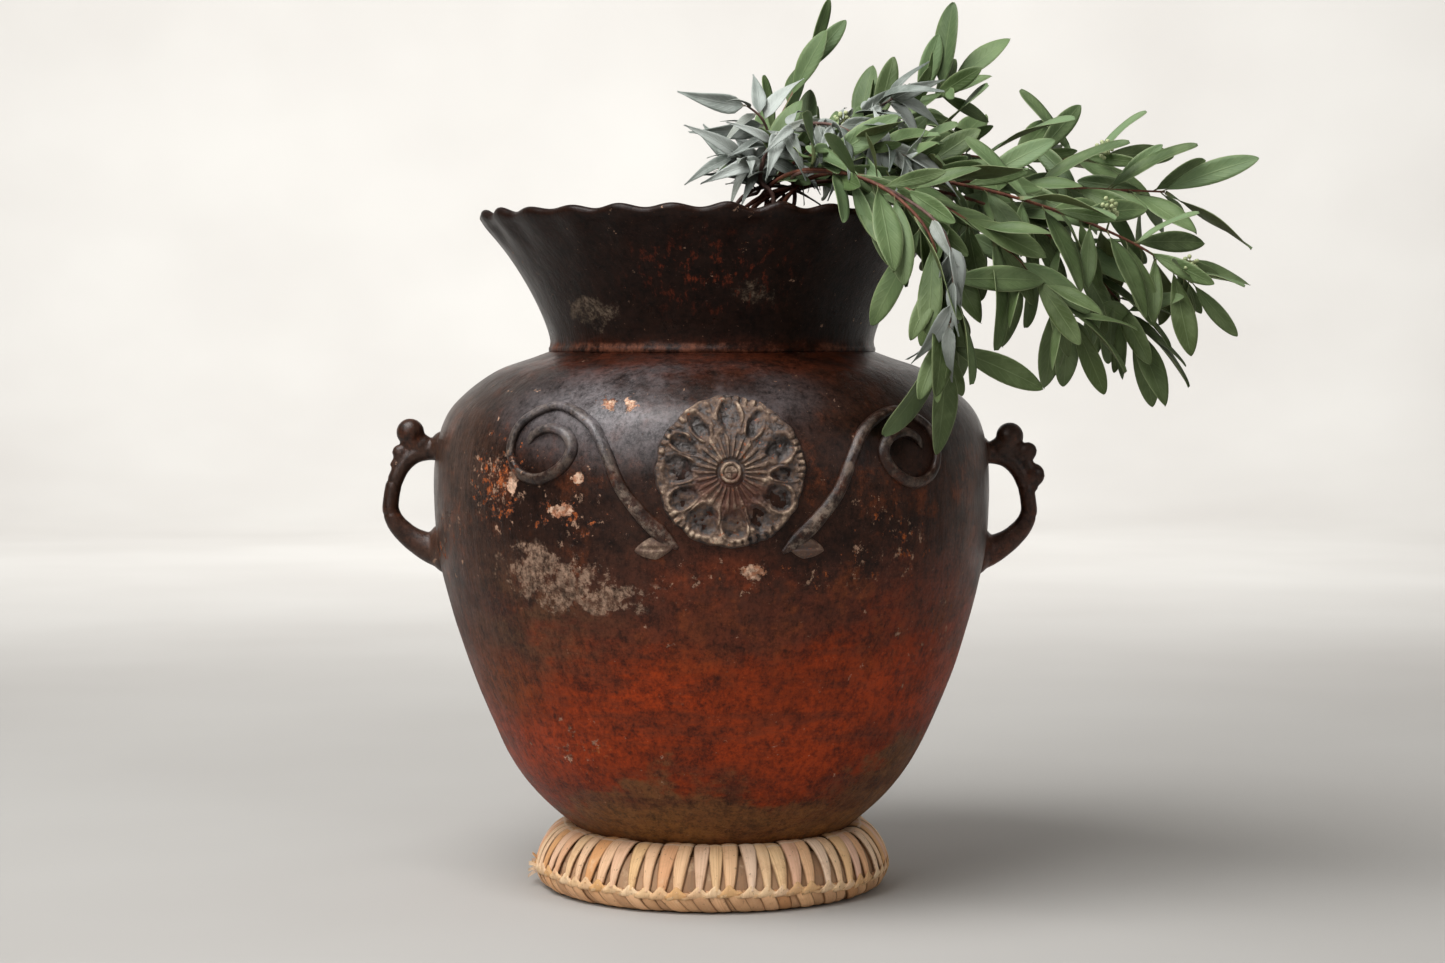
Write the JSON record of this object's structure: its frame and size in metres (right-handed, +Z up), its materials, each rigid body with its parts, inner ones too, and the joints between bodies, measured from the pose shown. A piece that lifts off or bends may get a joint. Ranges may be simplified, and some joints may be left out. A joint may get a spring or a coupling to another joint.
{
  "type": "clay storage jar on a woven palm ring",
  "caption": "Burnished round-bottomed clay jar with loop handles, a rosette and scrolls, standing in a woven palm ring and holding a spray of cut eucalyptus.",
  "frame": {"origin": "centre of the palm ring's foot, on the surface it stands on", "axes": "+Z up along the jar's axis, -Y towards the decorated front, +X towards the right handle"},
  "size_m": [0.6827, 0.4659, 0.7042],
  "materials": {
    "palm_core": "dry coiled palm fibre",
    "palm_strip": "dry matt palm leaf with a fine grain",
    "clay": "burnished, smoke-blackened clay with a soft sheen",
    "clay_belly": "burnished red clay, blackened above and worn grey below",
    "clay_relief": "worn applied clay with grey deposits",
    "stem": "thin reddish-brown stem",
    "silver_stem": "thin reddish stem",
    "green_leaf": "waxy sage green leaf",
    "silver_leaf": "pale silver-grey leaf, matt",
    "seed": "pale green seed"
  },
  "bodies": {
    "ring_stand": {"ring_core": "palm_core", "ring_upper_strips": "palm_strip", "ring_lower_strips": "palm_strip", "ring_braid": "palm_strip", "ring_tuft": "palm_strip"},
    "jar": {"base_bowl": "clay_belly", "shoulder_wall": "clay_belly", "neck_collar": "clay", "neck_seam_coil": "clay", "fluted_rim": "clay", "handle_left": "clay", "handle_right": "clay", "crest_left": "clay", "crest_right": "clay", "rosette_disc": "clay_relief", "rosette_edge": "clay_relief", "rosette_petals": "clay_relief", "rosette_rays": "clay_relief", "rosette_centre": "clay_relief", "scroll_left": "clay", "scroll_right": "clay", "scroll_leaf_left": "clay_relief", "scroll_leaf_right": "clay_relief"},
    "spray": {"crown_stem": "stem", "crown_leaves": "green_leaf", "back_stem": "stem", "back_leaves": "green_leaf", "top_stem": "stem", "top_leaves": "green_leaf", "middle_stem": "stem", "middle_leaves": "green_leaf", "long_stem": "stem", "long_leaves": "green_leaf", "front_stem": "stem", "front_leaves": "green_leaf", "hanging_stem": "stem", "hanging_leaves": "green_leaf", "lower_stem": "stem", "lower_leaves": "green_leaf", "short_stem": "stem", "short_leaves": "green_leaf", "silver_left_stem": "silver_stem", "silver_left_leaves": "silver_leaf", "silver_arch_stem": "silver_stem", "silver_arch_leaves": "silver_leaf", "silver_tall_stem": "silver_stem", "silver_tall_leaves": "silver_leaf", "silver_top_stem": "silver_stem", "silver_top_leaves": "silver_leaf", "silver_low_stem": "silver_stem", "silver_low_leaves": "silver_leaf", "seed_clusters": "seed"}
  },
  "joints": [
    {"name": "jar_lift", "type": "slide", "parent": "ring_stand", "child": "jar", "axis": [0, 0, 1], "range_m": [0, 0.08]},
    {"name": "spray_lift", "type": "slide", "parent": "jar", "child": "spray", "axis": [0, 0, 1], "range_m": [0, 0.45]}
  ]
}
